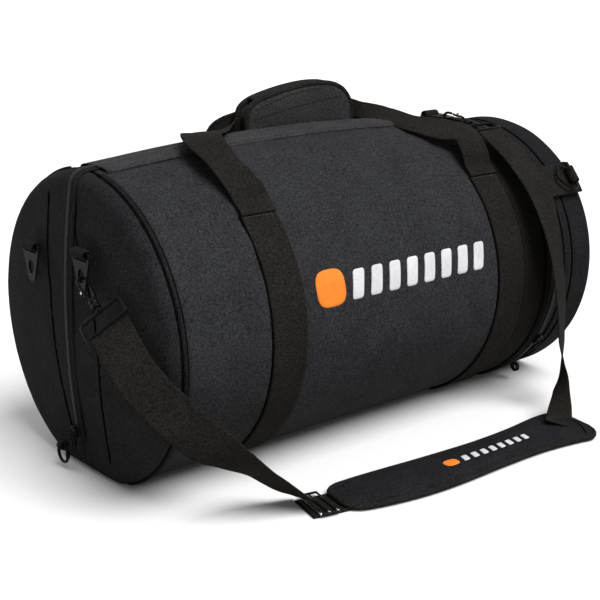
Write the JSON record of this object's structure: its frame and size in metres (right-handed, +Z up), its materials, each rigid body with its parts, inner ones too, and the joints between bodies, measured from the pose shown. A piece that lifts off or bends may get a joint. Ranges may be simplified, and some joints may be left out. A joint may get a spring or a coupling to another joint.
{
  "type": "telescope carry case",
  "caption": "Padded cylindrical fabric case with a long top zip, a zipped hinged end lid, webbing carry handles with a padded wrap, and a clip-on shoulder strap with a pad.",
  "frame": {"origin": "on the flat underside, below the middle of the barrel", "axes": "+X along the barrel towards the hinged end lid, -Y towards the side with the shoulder strap, +Z up"},
  "size_m": [0.7852, 0.5304, 0.4422],
  "materials": {
    "canvas": "woven nylon, near black",
    "collar_cloth": "woven nylon, slightly brown black",
    "webbing": "ribbed nylon webbing",
    "piping": "bound piping",
    "foam": "closed-cell foam sheet",
    "lining": "smooth lining cloth",
    "zip_tape": "zip tape with coil teeth",
    "black_metal": "glossy black"
  },
  "bodies": {
    "case_front": {"barrel_front_shell": "canvas", "barrel_front_foam": "foam", "lining_front": "lining", "lining_collar": "lining", "collar_shell": "collar_cloth", "collar_foam": "foam", "collar_piping": "piping", "cap_front_shell": "canvas", "cap_front_foam": "foam", "cap_piping_front": "piping", "main_zip_tape_front": "zip_tape", "top_band_front": "zip_tape", "left_band_front": "webbing", "right_band_front": "webbing", "lid_zip_tape_collar_side": "zip_tape", "front_lug_loop": "webbing", "front_lug_plate": "black_metal", "top_lug_loop": "webbing", "top_lug_plate": "black_metal", "left_snap_hook": "black_metal", "left_strap_ring": "black_metal", "right_snap_hook": "black_metal", "right_strap_ring": "black_metal", "shoulder_strap_left": "webbing", "shoulder_strap_middle": "webbing", "shoulder_strap_right": "webbing"},
    "back_half": {"barrel_back_shell": "canvas", "barrel_back_foam": "foam", "lining_back": "lining", "cap_back_shell": "canvas", "cap_back_foam": "foam", "cap_piping_back": "piping", "main_zip_tape_back": "zip_tape", "top_band_back": "zip_tape", "left_band_back": "webbing", "right_band_back": "webbing", "back_lug_loop": "webbing", "left_base_loop": "webbing"},
    "front_carry_handle": {"front_handle": "webbing", "wrap_back": "canvas"},
    "handle_wrap_flap": {"wrap_flap": "canvas"},
    "back_carry_handle": {"back_handle": "webbing"},
    "end_lid": {"lid_shell": "canvas", "lid_foam": "foam", "lid_lining": "lining", "lid_zip_tape_lid_side": "zip_tape", "lid_piping": "piping", "lid_ring_band": "webbing", "right_base_loop": "webbing"},
    "d_ring": {"lid_d_ring": "black_metal"},
    "upper_lid_slider": {"lid_zip_slider_upper": "black_metal"},
    "lower_lid_slider": {"lid_zip_slider_lower": "black_metal"},
    "main_slider": {"main_zip_slider": "black_metal"},
    "main_pull": {"main_zip_pull": "black_metal"},
    "back_lug": {"back_lug_plate": "black_metal"},
    "base_hook": {"left_base_hook": "black_metal"},
    "left_gate": {"left_snap_gate": "black_metal"},
    "right_gate": {"right_snap_gate": "black_metal"},
    "adjuster": {"strap_adjuster": "black_metal"},
    "pad": {"shoulder_pad": "canvas"}
  },
  "joints": [
    {"name": "back_half_open", "type": "hinge", "parent": "case_front", "child": "back_half", "pos_m": [0, 0.0608, 0], "axis": [-1, 0, 0], "range_deg": [0, 40]},
    {"name": "front_handle_swing", "type": "hinge", "parent": "case_front", "child": "front_carry_handle", "pos_m": [0, -0.1281, 0.3253], "axis": [1, 0, 0], "range_deg": [0, 150]},
    {"name": "wrap_flap_open", "type": "hinge", "parent": "front_carry_handle", "child": "handle_wrap_flap", "pos_m": [0, 0.049, 0.439], "axis": [-1, 0, 0], "range_deg": [0, 90]},
    {"name": "back_handle_swing", "type": "hinge", "parent": "back_half", "child": "back_carry_handle", "pos_m": [0, 0.1281, 0.3253], "axis": [-1, 0, 0], "range_deg": [0, 100]},
    {"name": "end_lid_open", "type": "hinge", "parent": "case_front", "child": "end_lid", "pos_m": [0.292, 0.1946, 0.18], "axis": [0, 0, 1], "range_deg": [0, 110]},
    {"name": "lid_d_ring_swing", "type": "hinge", "parent": "end_lid", "child": "d_ring", "pos_m": [0.352, -0.16186, 0.30646], "axis": [0, 0.6157, 0.788], "range_deg": [0, 150]},
    {"name": "lid_zip_upper_slide", "type": "hinge", "parent": "end_lid", "child": "upper_lid_slider", "pos_m": [0.292, 0, 0.18], "axis": [-1, 0, 0], "range_deg": [0, 95]},
    {"name": "lid_zip_lower_slide", "type": "hinge", "parent": "end_lid", "child": "lower_lid_slider", "pos_m": [0.292, 0, 0.18], "axis": [-1, 0, 0], "range_deg": [-10, 25]},
    {"name": "main_zip_slide", "type": "hinge", "parent": "case_front", "child": "main_slider", "pos_m": [0.731, 0, 0.18], "axis": [0, 1, 0], "range_deg": [0, 14]},
    {"name": "main_zip_pull_swing", "type": "hinge", "parent": "main_slider", "child": "main_pull", "pos_m": [-0.37255, 0, 0.05681], "axis": [0, 1, 0], "range_deg": [0, 120]},
    {"name": "back_lug_swing", "type": "hinge", "parent": "back_half", "child": "back_lug", "pos_m": [-0.374, 0.071, 0.274], "axis": [0, 1, 0], "range_deg": [0, 90]},
    {"name": "left_base_hook_swing", "type": "hinge", "parent": "back_half", "child": "base_hook", "pos_m": [-0.371, 0.026, 0.031], "axis": [0, 1, 0], "range_deg": [0, 80]},
    {"name": "left_snap_gate_press", "type": "hinge", "parent": "case_front", "child": "left_gate", "pos_m": [-0.38722, -0.07506, 0.24323], "axis": [0, 0.4384, -0.8988], "range_deg": [0, 20], "stiffness_Nm_per_rad": 0.02, "springref_deg": -17.19},
    {"name": "right_snap_gate_press", "type": "hinge", "parent": "case_front", "child": "right_gate", "pos_m": [0.256, -0.03732, 0.3838], "axis": [-1, 0, 0], "range_deg": [0, 20], "stiffness_Nm_per_rad": 0.02, "springref_deg": -17.19},
    {"name": "adjuster_slide", "type": "slide", "parent": "case_front", "child": "adjuster", "axis": [0.9744, -0.225, 0], "range_m": [0, 0.005]},
    {"name": "pad_slide", "type": "slide", "parent": "case_front", "child": "pad", "axis": [1, 0, 0], "range_m": [0, 0.005]}
  ],
  "couplings": [
    {"joint": "front_handle_swing", "follows": "back_half_open", "ratio": 3.75}
  ]
}
